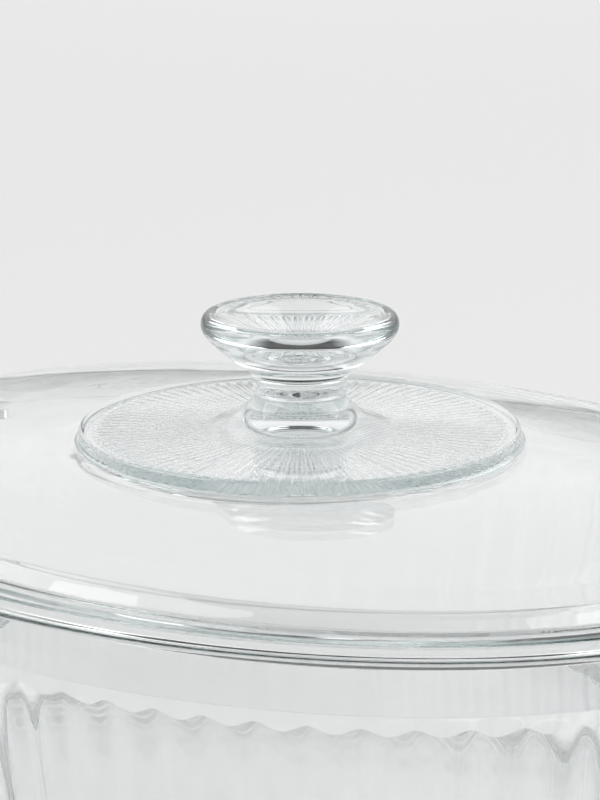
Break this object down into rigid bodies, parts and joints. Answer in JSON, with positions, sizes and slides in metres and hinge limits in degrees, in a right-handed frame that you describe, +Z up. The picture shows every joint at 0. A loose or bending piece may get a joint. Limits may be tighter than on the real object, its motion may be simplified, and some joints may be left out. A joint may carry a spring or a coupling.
{
  "type": "covered casserole dish",
  "caption": "Oval clear pressed-glass casserole: a deep dish with a fluted wall and end lugs, and a domed lid with a glass knob that lifts off.",
  "frame": {"origin": "centre of the dish's foot, on the surface that it stands on", "axes": "+Z up through the knob, X along the oval's long axis, Y along its short axis"},
  "size_m": [0.3288, 0.236, 0.1335],
  "materials": {
    "pressed_glass": "clear, fire-polished, faintly blue-green where it is thick"
  },
  "bodies": {
    "dish": {"dish": "pressed_glass"},
    "lid": {"lid": "pressed_glass"}
  },
  "joints": [
    {"name": "lid_lift", "type": "slide", "parent": "dish", "child": "lid", "axis": [0, 0, 1], "range_m": [0, 0.15]}
  ]
}
